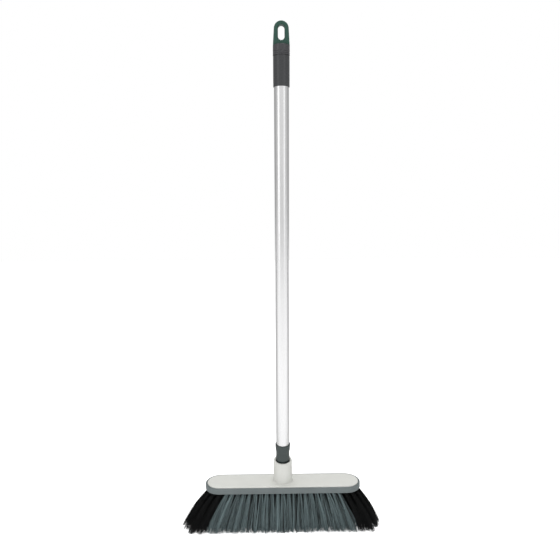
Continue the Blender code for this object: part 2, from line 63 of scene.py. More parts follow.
BLOCK_LOW, BLOCK_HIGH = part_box("broom_block")
UNDERSIDE = BLOCK_LOW.z
HALF_LENGTH = BLOCK_HIGH.x
HALF_WIDTH = BLOCK_HIGH.y
THICKNESS = 12 * MM
BLOCK_TOP = UNDERSIDE + THICKNESS
AXIS = Vector(next(joint["axis"] for joint in frame["joints"] if joint["name"] == "handle_extend"))
LEAN = math.atan2(-AXIS.y, AXIS.z)
HANDLE = Matrix.Translation((0, 0, BLOCK_TOP)) @ Matrix.Rotation(LEAN, 4, "X")
UPRIGHT = Matrix.Identity(4)

# ---------------------------------------------------------------- node helpers


class Nodes:
    """A material's node tree, with short calls to add nodes and links."""

    def __init__(self, name):
        self.material = bpy.data.materials.new(name)
        self.material.use_nodes = True
        self.tree = self.material.node_tree
        self.shader = self.tree.nodes["Principled BSDF"]

    def add(self, kind, **values):
        node = self.tree.nodes.new(kind)
        for key, value in values.items():
            setattr(node, key, value)
        return node

    def link(self, source, target):
        self.tree.links.new(source, target)

    def set(self, **values):
        for key, value in values.items():
            self.shader.inputs[key.replace("_", " ")].default_value = value

    def place(self, scale=(1, 1, 1)):
        coordinates = self.add("ShaderNodeTexCoord")
        mapping = self.add("ShaderNodeMapping")
        mapping.inputs["Scale"].default_value = scale
        self.link(coordinates.outputs["Object"], mapping.inputs["Vector"])
        return mapping.outputs["Vector"]

    def noise(self, place, scale, detail=3.0, roughness=0.5):
        node = self.add("ShaderNodeTexNoise")
        node.inputs["Scale"].default_value = scale
        node.inputs["Detail"].default_value = detail
        node.inputs["Roughness"].default_value = roughness
        self.link(place, node.inputs["Vector"])
        return node.outputs["Fac"]

    def spread(self, value, low, high, start=0.3, end=0.7):
        """value's range from start to end, spread over low to high."""
        node = self.add("ShaderNodeMapRange")
        node.inputs["From Min"].default_value = start
        node.inputs["From Max"].default_value = end
        node.inputs["To Min"].default_value = low
        node.inputs["To Max"].default_value = high
        self.link(value, node.inputs["Value"])
        return node.outputs["Result"]

    def colors(self, value, *stops):
        ramp = self.add("ShaderNodeValToRGB")
        elements = ramp.color_ramp.elements
        while len(elements) < len(stops):
            elements.new(0.5)
        for element, (position, color) in zip(elements, stops):
            element.position = position
            element.color = (*color, 1)
        self.link(value, ramp.inputs["Fac"])
        return ramp.outputs["Color"]

    def bump(self, value, distance, strength=1.0):
        node = self.add("ShaderNodeBump")
        node.inputs["Distance"].default_value = distance
        node.inputs["Strength"].default_value = strength
        self.link(value, node.inputs["Height"])
        self.link(node.outputs["Normal"], self.shader.inputs["Normal"])


def times(color, amount):
    return tuple(min(1.0, part * amount) for part in color)


# ---------------------------------------------------------------- materials

GREEN = (0.020, 0.078, 0.056)
CAP_GREY = (0.057, 0.057, 0.062)
COLLAR_GREY = (0.044, 0.059, 0.058)
GRIP_GREY = (0.050, 0.052, 0.055)
WHITE = (0.75, 0.755, 0.715)
BUMPER_GREY = (0.150, 0.176, 0.178)
BRISTLE_GREY = (0.192, 0.256, 0.266)
BRISTLE_BLACK = (0.0035, 0.004, 0.0042)
ALUMINIUM = (0.86, 0.86, 0.865)
STEEL = (0.55, 0.55, 0.56)
NYLON = (0.75, 0.74, 0.70)
SOFT_BLACK = (0.02, 0.02, 0.02)


def moulded(name, color, roughness, grain=2500, depth=0.02 * MM, tone=0.06, gloss=0.5):
    """Moulded plastic or rubber: a fine grain, and a slow drift of tone and gloss."""
    nodes = Nodes(name)
    place = nodes.place()
    slow = nodes.noise(place, 45, 3)
    shade = nodes.colors(slow, (0.35, times(color, 1 - tone)), (0.65, times(color, 1 + tone)))
    nodes.link(shade, nodes.shader.inputs["Base Color"])
    blotch = nodes.noise(place, 320, 4, 0.6)
    gloss_drift = nodes.spread(blotch, roughness - 0.05, roughness + 0.05)
    nodes.link(gloss_drift, nodes.shader.inputs["Roughness"])
    nodes.bump(nodes.noise(place, grain, 2, 0.6), depth, 0.6)
    nodes.set(Specular_IOR_Level=gloss)
    return nodes.material


def drawn_metal(name, color, roughness):
    """Satin tube: fine draw lines along the tube."""
    nodes = Nodes(name)
    lines = nodes.noise(nodes.place((1, 1, 0.006)), 2600, 4, 0.7)
    slow = nodes.noise(nodes.place((1, 1, 0.15)), 60, 3)
    shade = nodes.colors(slow, (0.3, times(color, 0.97)), (0.7, times(color, 1.02)))
    nodes.link(shade, nodes.shader.inputs["Base Color"])
    gloss_drift = nodes.spread(lines, roughness - 0.04, roughness + 0.05)
    nodes.link(gloss_drift, nodes.shader.inputs["Roughness"])
    nodes.bump(lines, 0.006 * MM, 0.4)
    nodes.set(Metallic=1.0)
    return nodes.material


def filament(name, color, tip_lift, spread_dark, spread_light, gloss):
    """Bristle filaments. The UV map's U is a filament's tone, which on the inner rows carries painted shade, and V
    runs down it.
    """
    nodes = Nodes(name)
    uv = nodes.add("ShaderNodeUVMap", uv_map="filament")
    parts = nodes.add("ShaderNodeSeparateXYZ")
    nodes.link(uv.outputs["UV"], parts.inputs["Vector"])
    tone = nodes.colors(
        parts.outputs["X"],
        (0.0, times(color, spread_dark)),
        (0.4, times(color, 0.85)),
        (0.7, times(color, 1.15)),
        (1.0, times(color, spread_light)),
    )
    fade = nodes.add("ShaderNodeMix", data_type="RGBA")
    nodes.link(nodes.spread(parts.outputs["Y"], 0.0, 0.5, 0.85, 1.0), fade.inputs["Factor"])
    nodes.link(tone, fade.inputs["A"])
    fade.inputs["B"].default_value = (*times(color, tip_lift), 1)
    nodes.link(fade.outputs["Result"], nodes.shader.inputs["Base Color"])
    rough = nodes.spread(parts.outputs["X"], 0.42, 0.6, 0.0, 1.0)
    nodes.link(rough, nodes.shader.inputs["Roughness"])
    nodes.set(Specular_IOR_Level=gloss)
    return nodes.material


MATERIALS = {
    "green_plastic": moulded("green_plastic", GREEN, 0.38, depth=0.012 * MM),
    "dark_plastic": moulded("dark_plastic", CAP_GREY, 0.3),
    "collar_plastic": moulded("collar_plastic", COLLAR_GREY, 0.4),
    "grip_rubber": moulded("grip_rubber", GRIP_GREY, 0.29, grain=1600, depth=0.03 * MM),
    "white_plastic": moulded("white_plastic", WHITE, 0.42, depth=0.012 * MM, tone=0.015),
    "grey_rubber": moulded("grey_rubber", BUMPER_GREY, 0.55, grain=1500, depth=0.04 * MM),
    "black_rubber": moulded("black_rubber", SOFT_BLACK, 0.7),
    "nylon": moulded("nylon", NYLON, 0.5),
    "steel": drawn_metal("steel", STEEL, 0.35),
    "aluminium": drawn_metal("aluminium", ALUMINIUM, 0.26),
    "grey_bristle": filament("grey_bristle", BRISTLE_GREY, 0.5, 0.06, 1.7, 0.4),
    "black_bristle": filament("black_bristle", BRISTLE_BLACK, 1.6, 0.5, 1.6, 0.22),
}
SLOTS = {row["node"]: row["material_slot"] for row in frame["record"]["subparts"]}


def dress_frame():
    """Gives every CAD node its material slot's material."""
    for name, node in frame["nodes"].items():
        node.data.materials.clear()
        node.data.materials.append(MATERIALS[SLOTS[name]])


dress_frame()

# ---------------------------------------------------------------- shape helpers


def finish_piece(bm, name, node, body, place=HANDLE):
    """Turns a bmesh into the shown piece that stands for a CAD node."""
    bmesh.ops.remove_doubles(bm, verts=bm.verts, dist=0.000001)
    bmesh.ops.recalc_face_normals(bm, faces=bm.faces)
    for face in bm.faces:
        face.smooth = True
    for edge in bm.edges:
        edge.smooth = edge.calc_face_angle(0) < SHARP
    mesh = bpy.data.meshes.new(name)
    bm.to_mesh(mesh)
    bm.free()
    mesh.materials.append(MATERIALS[SLOTS[node]])
    piece = bpy.data.objects.new(name, mesh)
    piece.matrix_world = place
    bpy.context.scene.collection.objects.link(piece)
    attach(piece, body)
    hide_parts(node)


def softened(points, radius, steps=4, closed=True):
    """A polygon of 2-D points with its corners rounded off."""
    points = [Vector(point) for point in points]
    count = len(points)
    result = []
    for here, point in enumerate(points):
        if not closed and here in (0, count - 1):
            result.append(tuple(point))
            continue
        before = points[here - 1] - point
        after = points[(here + 1) % count] - point
        reach = min(radius, 0.48 * before.length, 0.48 * after.length)
        start = point + before.normalized() * reach
        end = point + after.normalized() * reach
        for step in range(steps + 1):
            part = step / steps
            result.append(tuple(start.lerp(point, part).lerp(point.lerp(end, part), part)))
    return result


def skin(bm, rings, closed=False):
    """Faces between each ring of points and the next. A ring of one point repeated is a pole."""
    made = []
    for ring in rings:
        if all(point == ring[0] for point in ring):
            made.append([bm.verts.new(ring[0])] * len(ring))
        else:
            made.append([bm.verts.new(point) for point in ring])
    followers = made[1:] + made[:1] if closed else made[1:]
    for lower, upper in zip(made, followers):
        for here in range(len(lower)):
            there = (here + 1) % len(lower)
            corners = dict.fromkeys((lower[here], lower[there], upper[there], upper[here]))
            if len(corners) > 2:
                bm.faces.new(corners)
    return made


def circle(radius, height, count=ROUND):
    turns = [2 * math.pi * step / count for step in range(count)]
    return [(radius * math.cos(turn), radius * math.sin(turn), height) for turn in turns]


def turned(profile, closed=True):
    """A bmesh of a profile of (radius, height) points run round the Z axis."""
    bm = bmesh.new()
    skin(bm, [circle(radius, height) for radius, height in profile], closed)
    return bm


def stadium(half_length, half_width, height, steps=40):
    straight = half_length - half_width
    points = []
    for side in (1, -1):
        for step in range(steps + 1):
            angle = math.pi * (step / steps - 0.5)
            x = side * (straight + half_width * math.cos(angle))
            points.append((x, side * half_width * math.sin(angle), height))
    return points


# ---------------------------------------------------------------- block and bumper

SOCKET_TOP = 44.5 * MM
SOCKET_TOP_RADIUS = 17.5 * MM
SOCKET_FOOT_RADIUS = 18 * MM
SOCKET_FILLET = 4 * MM
MOUTH_TILT = math.radians(2)
MOUTH_RADIUS = 13.5 * MM
MOUTH_FLOOR = 33.5 * MM
BORE_RADIUS = 9.9 * MM
BORE_FLOOR = 6 * MM
LIP_EDGE = 1.5 * MM
LIP_DEPTH = 4 * MM
BLOCK_EDGE = 1.6 * MM
BUMPER_GAP = 0.3 * MM
BUMPER_WALL = 3.2 * MM
BUMPER_HEIGHT = 11 * MM


def socket_rings():
    """The socket's skin: up from the block's top, over its lip and down a bore without a thread."""
    foot = Vector((0, 0, BLOCK_TOP))
    fillet_steps = 14
    rings = []
    for step in range(fillet_steps + 1):
        turn = math.pi / 2 * step / fillet_steps
        radius = SOCKET_FOOT_RADIUS + SOCKET_FILLET * (1 - math.sin(turn))
        rise = SOCKET_FILLET * (1 - math.cos(turn)) - 0.02 * MM
        tilt = Matrix.Rotation(LEAN * step / fillet_steps, 4, "X")
        middle = foot + AXIS * rise
        rings.append([tuple(middle + tilt @ Vector(point)) for point in circle(radius, 0)])
    wall_foot = SOCKET_FILLET + 1 * MM
    outside = [
        (SOCKET_FOOT_RADIUS, wall_foot),
        (SOCKET_TOP_RADIUS, SOCKET_TOP),
        (MOUTH_RADIUS, SOCKET_TOP),
        (MOUTH_RADIUS, SOCKET_TOP - LIP_DEPTH),
    ]
    for radius, height in softened(outside, LIP_EDGE, closed=False):
        tilt = MOUTH_TILT * max(0.0, height - wall_foot) / (SOCKET_TOP - wall_foot)
        cut = HANDLE @ Matrix.Translation((0, 0, height)) @ Matrix.Rotation(tilt, 4, "X")
        rings.append([tuple(cut @ Vector(point)) for point in circle(radius, 0)])
    inside = [
        (MOUTH_RADIUS, MOUTH_FLOOR),
        (BORE_RADIUS, MOUTH_FLOOR),
        (BORE_RADIUS, BORE_FLOOR),
        (0, BORE_FLOOR),
    ]
    for radius, height in inside:
        rings.append([tuple(HANDLE @ Vector(point)) for point in circle(radius, height)])
    return rings


def make_block():
    """The white moulding: a plate with a rolled top edge, and the leaning socket."""
    bm = bmesh.new()
    edge = softened(
        [(0, UNDERSIDE), (0, BLOCK_TOP), (6 * MM, BLOCK_TOP)], BLOCK_EDGE, 6, closed=False
    )
    outlines = [stadium(HALF_LENGTH - inset, HALF_WIDTH - inset, height) for inset, height in edge]
    made = skin(bm, outlines)
    bm.faces.new(made[0])
    bm.faces.new(made[-1])
    skin(bm, socket_rings())
    finish_piece(bm, "block_moulding", "broom_block", "head", UPRIGHT)


def make_bumper():
    """The soft grey rim: a rounded section with a shallow moulding line round it."""
    low = UNDERSIDE
    top = UNDERSIDE + BUMPER_HEIGHT
    inner = BUMPER_GAP
    outer = BUMPER_GAP + BUMPER_WALL
    section = [
        (inner, low),
        (outer, low),
        (outer, low + 3.2 * MM),
        (outer - 0.3 * MM, low + 3.6 * MM),
        (outer, low + 4.0 * MM),
        (outer, top),
        (inner, top),
    ]
    rounded = softened(section, 1.6 * MM, 5)
    bm = bmesh.new()
    outlines = [stadium(HALF_LENGTH + out, HALF_WIDTH + out, height) for out, height in rounded]
    skin(bm, outlines, closed=True)
    finish_piece(bm, "bumper_rim", "edge_bumper", "head", UPRIGHT)


# ---------------------------------------------------------------- handle

THREAD_PITCH = 5 * MM
THREAD_CORE = 9.4 * MM
THREAD_CREST = 1.5 * MM
THREAD_BOTTOM = 11 * MM
THREAD_TURNS = 4
TIP_FOOT = 8 * MM
TIP_HOLLOW = 5 * MM
TIP_TOP = 64 * MM
FLANGE_BOTTOM = 35.6 * MM
FLANGE_TOP = 38.6 * MM
FLANGE_RADIUS = 12.9 * MM
INNER_RADIUS = 10 * MM
INNER_WALL = 0.7 * MM
INNER_TOP = 700 * MM
OUTER_RADIUS = 12.5 * MM
OUTER_WALL = 0.8 * MM
OUTER_BOTTOM = 68.8 * MM
OUTER_TOP = 772.5 * MM
SLEEVE_BOTTOM = 722 * MM
SLEEVE_TOP = 769.2 * MM
SLEEVE_RADIUS = 13.7 * MM
CLEARANCE = 0.3 * MM
COLLAR_TOP = 77.5 * MM
COLLAR_BOTTOM = 38.9 * MM
COLLAR_RIM = 14.1 * MM
COLLAR_WAIST = 12.7 * MM
COLLAR_FLARE = 13.1 * MM
COLLAR_NECK = 11.3 * MM
COLLAR_CUP_FLOOR = 66.2 * MM
COLLAR_BORE_FOOT = 49 * MM
CAP_BOTTOM = 770.6 * MM
CAP_TOP = 786.3 * MM
CAP_RADIUS = 13.9 * MM
CAP_RING_RADIUS = 14.0 * MM
SEAM_RADIUS = 12.7 * MM
SEAM_HEIGHT = 1.4 * MM
CAP_RING_TOP = 779.2 * MM
CAP_GROOVES = (776.4 * MM, 773.4 * MM)
CAP_GROOVE_DEPTH = 0.8 * MM
CAP_PLUG_BOTTOM = 745 * MM
DOME_RISE = 2.8 * MM
DOME_STEPS = 8
CAP_EDGE = 0.3 * MM
THREAD_STEPS = 48
THREAD_SIDES = 10
WASHER_BORE = 11.5 * MM


def ribbed(points, low, high, pitch, depth):
    """A wall of (radius, height) points with shallow rings cut in it between two heights."""
    result = []
    for (radius, height), (_, after) in zip(points, points[1:]):
        result.append((radius, height))
        count = int(abs(after - height) / pitch)
        down = math.copysign(1, after - height)
        for step in range(1, count):
            middle = height + down * step * pitch
            if low < middle < high:
                result.append((radius, middle - down * 0.3 * pitch))
                result.append((radius - depth, middle))
                result.append((radius, middle + down * 0.3 * pitch))
    result.append(points[-1])
    return result


def make_tubes():
    outer = [
        (OUTER_RADIUS, OUTER_BOTTOM),
        (OUTER_RADIUS, OUTER_TOP),
        (OUTER_RADIUS - OUTER_WALL, OUTER_TOP),
        (OUTER_RADIUS - OUTER_WALL, OUTER_BOTTOM),
    ]
    finish_piece(turned(softened(outer, 0.25 * MM)), "long_tube", "outer_tube", "upper_handle")
    bottom = FLANGE_TOP + CLEARANCE
    inner = [
        (INNER_RADIUS, bottom),
        (INNER_RADIUS, INNER_TOP),
        (INNER_RADIUS - INNER_WALL, INNER_TOP),
        (INNER_RADIUS - INNER_WALL, bottom),
    ]
    finish_piece(turned(softened(inner, 0.2 * MM)), "slim_tube", "inner_tube", "lower_handle")


def make_sleeve():
    """The grip: rounded ends, and fine rings round its lower end."""
    wall = [
        (SLEEVE_RADIUS - 0.25 * MM, SLEEVE_BOTTOM),
        (SLEEVE_RADIUS, SLEEVE_BOTTOM + 1.5 * MM),
        (SLEEVE_RADIUS, SLEEVE_TOP),
    ]
    rings = ribbed(wall, SLEEVE_BOTTOM + 2 * MM, SLEEVE_BOTTOM + 9 * MM, 2.4 * MM, 0.22 * MM)
    bore = OUTER_RADIUS + 0.02 * MM
    profile = [*rings, (bore, SLEEVE_TOP), (bore, SLEEVE_BOTTOM)]
    finish_piece(turned(softened(profile, 0.5 * MM)), "grip", "grip_sleeve", "upper_handle")


def make_collar():
    """The twist collar: a tapering cup, a waist, a flare and a slim neck in the socket's mouth."""
    wall = [
        (COLLAR_RIM, COLLAR_TOP),
        (COLLAR_RIM, COLLAR_TOP - 4 * MM),
        (COLLAR_RIM - 0.5 * MM, COLLAR_TOP - 11 * MM),
        (COLLAR_WAIST, COLLAR_TOP - 15 * MM),
        (COLLAR_WAIST, COLLAR_TOP - 24.5 * MM),
        (COLLAR_FLARE, COLLAR_TOP - 28 * MM),
        (COLLAR_FLARE, COLLAR_TOP - 31 * MM),
        (COLLAR_NECK, COLLAR_TOP - 32.5 * MM),
        (COLLAR_NECK, COLLAR_BOTTOM),
    ]
    outside = softened(wall, 1.5 * MM, closed=False)
    floor = COLLAR_CUP_FLOOR
    cup = OUTER_RADIUS + 0.1 * MM
    foot = INNER_RADIUS + CLEARANCE
    bore = COLLAR_WAIST - 0.9 * MM
    inside = [
        (foot, COLLAR_BOTTOM),
        (foot, COLLAR_BORE_FOOT - 3 * MM),
        (bore, COLLAR_BORE_FOOT),
        (bore, floor),
        (cup, floor),
        (cup, COLLAR_TOP - 1 * MM),
        (cup + 0.4 * MM, COLLAR_TOP),
    ]
    finish_piece(turned([*outside, *inside]), "twist_collar", "lock_collar", "collar")


def make_cap():
    """The cap: a low dome, a grooved ring, a short neck that shades the seam, and the plug."""
    plug = OUTER_RADIUS - OUTER_WALL - CLEARANCE
    parts = [step / DOME_STEPS for step in range(DOME_STEPS + 1)]
    dome = [(CAP_RADIUS * part, CAP_TOP + DOME_RISE * (1 - part**2)) for part in parts]
    grooves = []
    for middle in CAP_GROOVES:
        grooves.append((CAP_RING_RADIUS, middle + CAP_GROOVE_DEPTH))
        grooves.append((CAP_RING_RADIUS - CAP_GROOVE_DEPTH, middle))
        grooves.append((CAP_RING_RADIUS, middle - CAP_GROOVE_DEPTH))
    wall = [
        (CAP_RADIUS, CAP_RING_TOP + CAP_EDGE),
        (CAP_RING_RADIUS, CAP_RING_TOP),
        *grooves,
        (CAP_RING_RADIUS, CAP_BOTTOM),
        (SEAM_RADIUS, CAP_BOTTOM),
        (SEAM_RADIUS, CAP_BOTTOM - SEAM_HEIGHT),
        (plug, CAP_BOTTOM - SEAM_HEIGHT),
        (plug, CAP_BOTTOM),
        (plug, CAP_PLUG_BOTTOM + 1 * MM),
        (plug - 1 * MM, CAP_PLUG_BOTTOM),
        (0, CAP_PLUG_BOTTOM),
    ]
    profile = softened([*dome, *wall], CAP_EDGE, closed=False)
    finish_piece(turned(profile, closed=False), "cap_ring", "hanger_cap", "upper_handle")


def make_thread_tip():
    """The plug and flange with a raised helical thread that fades out at both ends."""
    plug = INNER_RADIUS - INNER_WALL - CLEARANCE
    profile = [
        (0, TIP_TOP),
        (plug, TIP_TOP),
        (plug, FLANGE_TOP),
        (FLANGE_RADIUS, FLANGE_TOP),
        (FLANGE_RADIUS, FLANGE_BOTTOM),
        (THREAD_CORE, FLANGE_BOTTOM),
        (THREAD_CORE, TIP_FOOT),
        (TIP_HOLLOW, TIP_FOOT),
        (TIP_HOLLOW, FLANGE_BOTTOM),
        (0, FLANGE_BOTTOM),
    ]
    bm = turned(softened(profile, 0.5 * MM, closed=False), closed=False)
    count = THREAD_TURNS * THREAD_STEPS
    rings = []
    for step in range(count + 1):
        turn = 2 * math.pi * step / THREAD_STEPS
        fade = min(1.0, 0.05 + 3 * min(step, count - step) / THREAD_STEPS)
        climb = THREAD_BOTTOM + THREAD_PITCH * step / THREAD_STEPS
        ring = []
        for corner in range(THREAD_SIDES):
            angle = 2 * math.pi * corner / THREAD_SIDES
            radius = THREAD_CORE + THREAD_CREST * fade * math.cos(angle)
            height = climb + THREAD_CREST * fade * math.sin(angle)
            ring.append((radius * math.cos(turn), radius * math.sin(turn), height))
        rings.append(ring)
    made = skin(bm, rings)
    bm.faces.new(made[0])
    bm.faces.new(made[-1])
    finish_piece(bm, "threaded_tip", "thread_tip", "lower_handle")


def make_washer():
    """The rubber ring that lies on the shoulder in the socket's mouth."""
    outer = MOUTH_RADIUS - CLEARANCE
    low = MOUTH_FLOOR + CLEARANCE
    high = FLANGE_BOTTOM - CLEARANCE
    profile = [(WASHER_BORE, low), (outer, low), (outer, high), (WASHER_BORE, high)]
    finish_piece(turned(softened(profile, 0.5 * MM)), "rubber_washer", "mouth_washer", "screw_washer")


# ---------------------------------------------------------------- hanging loop

LOOP_TOP = 823.6 * MM
LOOP_HALF_WIDTH = 13.8 * MM
LOOP_TOP_RADIUS = 12.2 * MM
LOOP_HALF_THICKNESS = 6.5 * MM
SLOT_HALF_WIDTH = 5.4 * MM
SLOT_TOP = 817.6 * MM
SLOT_BOTTOM = 794.2 * MM


def arc(radius, middle, start, end, count):
    """Points (x, height) on an arc round (0, middle), both ends included."""
    turns = [start + (end - start) * step / (count - 1) for step in range(count)]
    return [(radius * math.cos(turn), middle + radius * math.sin(turn)) for turn in turns]


def between(start, end, count):
    """Points inside the line from start to end."""
    parts = [step / (count + 1) for step in range(1, count + 1)]
    run, rise = end[0] - start[0], end[1] - start[1]
    return [(start[0] + run * part, start[1] + rise * part) for part in parts]


def loop_outlines():
    """The loop's outer and slot outlines, point for point, anticlockwise from the right."""
    bottom = CAP_TOP - 1 * MM
    rise = LOOP_TOP - LOOP_TOP_RADIUS - bottom
    lean = math.acos(LOOP_TOP_RADIUS / math.hypot(LOOP_HALF_WIDTH, rise))
    lean -= math.atan2(rise, LOOP_HALF_WIDTH)
    over = arc(LOOP_TOP_RADIUS, LOOP_TOP - LOOP_TOP_RADIUS, lean, math.pi - lean, 49)
    left, right = (-LOOP_HALF_WIDTH, bottom), (LOOP_HALF_WIDTH, bottom)
    foot = [left, *between(left, right, 23), right]
    outer = [*over, *between(over[-1], left, 14), *foot, *between(right, over[0], 14)]
    arch = arc(SLOT_HALF_WIDTH, SLOT_TOP - SLOT_HALF_WIDTH, 0, math.pi, 49)
    bowl = arc(SLOT_HALF_WIDTH, SLOT_BOTTOM + SLOT_HALF_WIDTH, math.pi, 2 * math.pi, 25)
    inner = [*arch, *between(arch[-1], bowl[0], 14), *bowl, *between(bowl[-1], arch[0], 14)]
    return outer, inner


def make_loop():
    """A soft-edged band round a slot, standing on the cap's dome."""
    outer, inner = loop_outlines()
    thick = LOOP_HALF_THICKNESS
    soft = 3.0 * MM
    rim = 0.34
    section = []
    for (side, face), (side_turn, face_turn) in (
        ((1, -1), (0, 1)),
        ((1, 1), (1, 0)),
        ((0, 1), (0, 1)),
        ((0, -1), (1, 0)),
    ):
        for step in range(7):
            angle = math.pi / 2 * step / 6
            across, along = math.sin(angle), math.cos(angle)
            if side_turn:
                across, along = along, across
            inset = rim * (1 - across)
            drop = soft * (1 - along)
            section.append((side + (inset if side == 0 else -inset), face * (thick - drop)))
    rings = []
    for part, depth in section:
        ring = []
        for (outer_x, outer_z), (inner_x, inner_z) in zip(outer, inner):
            x = inner_x + (outer_x - inner_x) * part
            height = inner_z + (outer_z - inner_z) * part
            ring.append((x, depth, height))
        rings.append(ring)
    bm = bmesh.new()
    skin(bm, rings, closed=True)
    finish_piece(bm, "hanging_loop", "hanger_loop", "upper_handle")


make_block()
make_bumper()
make_tubes()
make_sleeve()
make_collar()
make_cap()
make_thread_tip()
make_washer()
make_loop()

# ---------------------------------------------------------------- bristles

TUFT_PITCH = 10.35 * MM
BLACK_PITCH = 12.5 * MM
TIP_ROW_PITCH = 14.8 * MM
ROW_PITCH = 8.6 * MM
ROWS = 5
GREY_REACH = 10
BLACK_COUNTS = (2, 3, 3, 3, 2)
FLARE_REACH = 46 * MM
FLARE_ROOT = 95 * MM
FLARE_POWER = 2.6
END_ROOT = 141 * MM
END_SHIFT = -3 * MM
ROOT_RADIUS = 2.8 * MM
BUNDLES = 36
STRANDS = 5
FILAMENT_RADIUS = 0.28 * MM
RINGS = 7
TIP_LIFT = 0.35 * MM
TUFT_LIFT = 0.3 * MM
BOW = 0.4 * MM
EARLY_BEND = 0.4
FAN_POWER = 1.1
TIP_SPREAD = 1.4
TIP_SCATTER_X = 0.3
TIP_SCATTER_Y = 0.1
BUNDLE_SCATTER = 0.05
TAPER_START = 0.6
TAPER = 0.8
DARK_SHARE = 0.2
DARK_TONE = 0.06
# Painted shade: the tone at the roots of the inner rows.
ROOT_PAINTED_SHADE_TONE = 0.02
OUTER_ROW_TONE = 0.55
# The inner rows' tone is their own grey made darker by painted shade.
INNER_ROW_TONE_WITH_PAINTED_SHADE = 0.42
TUFT_TONE_SPREAD = 0.03
BUNDLE_TONE_SPREAD = 0.26
STRAND_TONE_SPREAD = 0.13
# How fast a strand leaves its painted root shade down its length.
ROOT_SHADE_FADE_RISE = 2.2
ROOT_SHADE_FADE_DELAY = 0.3


def tip_place(root):
    """Where a bristle rooted at X = root meets the floor. Both ends are shifted a little to -X."""
    reach = FLARE_REACH * (1 - math.exp(-((abs(root) / FLARE_ROOT) ** FLARE_POWER)))
    return root + math.copysign(reach, root) + END_SHIFT * (abs(root) / END_ROOT) ** 4


def filament_points(rng, root_x, root_y, spread_x, away_x, away_y, lift):
    """One filament's centre line, from inside its hole down to its tip."""
    tip_y = root_y / ROW_PITCH * TIP_ROW_PITCH
    tip = Vector((tip_place(root_x), tip_y, lift + abs(rng.gauss(0, TIP_LIFT))))
    start = Vector((root_x, root_y, UNDERSIDE + 1 * MM))
    loose_x = spread_x * (TIP_SPREAD * away_x + rng.gauss(0, TIP_SCATTER_X))
    loose_y = TIP_ROW_PITCH * 0.5 * (away_y + rng.gauss(0, TIP_SCATTER_Y))
    bow_x, bow_y = rng.gauss(0, BOW), rng.gauss(0, BOW)
    early = EARLY_BEND * min(1.0, abs(root_x) / END_ROOT)
    points = []
    for step in range(RINGS):
        down = step / (RINGS - 1)
        across = down + early * down * (1 - down)
        wave = math.sin(math.pi * down)
        fan = down**FAN_POWER
        x = start.x + (tip.x - start.x) * across + bow_x * wave
        x += away_x * ROOT_RADIUS * (1 - fan) + loose_x * fan
        y = start.y + (tip.y - start.y) * down + bow_y * wave
        y += away_y * ROOT_RADIUS * (1 - fan) + loose_y * fan
        points.append(Vector((x, y, start.z + (tip.z - start.z) * down)))
    return points


def add_filament(bm, uv, points, radius, tone, painted_root_shade_tone):
    """A three-sided tapering strand. Its tone runs from the root's tone, painted shade on the inner rows, to tone
    in its upper part.
    """
    count = len(points)
    rings = []
    for step, point in enumerate(points):
        direction = points[min(step + 1, count - 1)] - points[max(step - 1, 0)]
        side = direction.cross(Vector((0, 1, 0))).normalized()
        other = direction.cross(side).normalized()
        size = radius * (1 - TAPER * max(0.0, step / (count - 1) - TAPER_START))
        ring = []
        for corner in range(3):
            turn = 2 * math.pi * corner / 3
            away = (side * math.cos(turn) + other * math.sin(turn)) * size
            ring.append(bm.verts.new(point + away))
        rings.append(ring)
    for step in range(count - 1):
        low, high = step / (count - 1), (step + 1) / (count - 1)
        for corner in range(3):
            there = (corner + 1) % 3
            here, after = rings[step], rings[step + 1]
            face = bm.faces.new((here[corner], here[there], after[there], after[corner]))
            face.smooth = True
            for loop, v in zip(face.loops, (low, low, high, high)):
                # How far the strand has left its painted root shade.
                lit = min(1.0, max(0.0, ROOT_SHADE_FADE_RISE * v - ROOT_SHADE_FADE_DELAY))
                loop[uv].uv = (painted_root_shade_tone + (tone - painted_root_shade_tone) * lit, v)
    for ring, u, v in ((rings[0][::-1], painted_root_shade_tone, 0.0), (rings[-1], tone, 1.0)):
        for loop in bm.faces.new(ring).loops:
            loop[uv].uv = (u, v)


